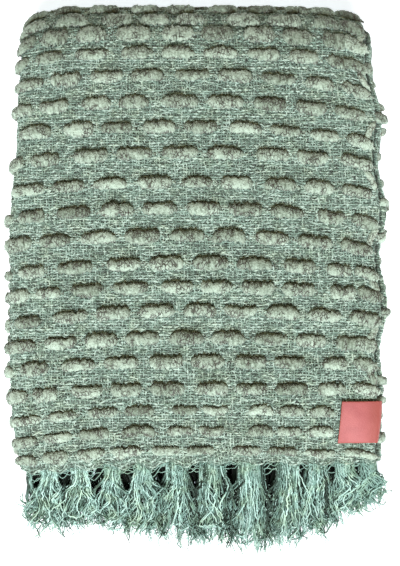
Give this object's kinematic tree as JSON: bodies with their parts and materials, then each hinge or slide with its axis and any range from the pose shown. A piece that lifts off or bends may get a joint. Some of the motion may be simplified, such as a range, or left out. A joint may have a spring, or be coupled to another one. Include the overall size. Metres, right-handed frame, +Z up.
{
  "type": "folded chenille throw blanket",
  "caption": "Folded throw blanket of loose sage-green weave with rows of plump chenille puffs, a fringed hem and a folded leather label on its selvage.",
  "frame": {"origin": "middle of the flat underside of the folded throw", "axes": "+X across the folded throw to its selvages, +Y from the fringed hem to the round end fold, +Z up"},
  "size_m": [0.3249, 0.4852, 0.086],
  "materials": {
    "chenille_cloth": "loose slubby plain weave with velvety chenille floats",
    "fringe_yarn": "fluffy untwisted warp ends",
    "leather": "thin dyed leather, soft sheen, bare face"
  },
  "bodies": {
    "root": {"blanket": "chenille_cloth", "fringe_upper": "fringe_yarn", "fringe_under": "fringe_yarn", "label": "leather"}
  },
  "joints": []
}
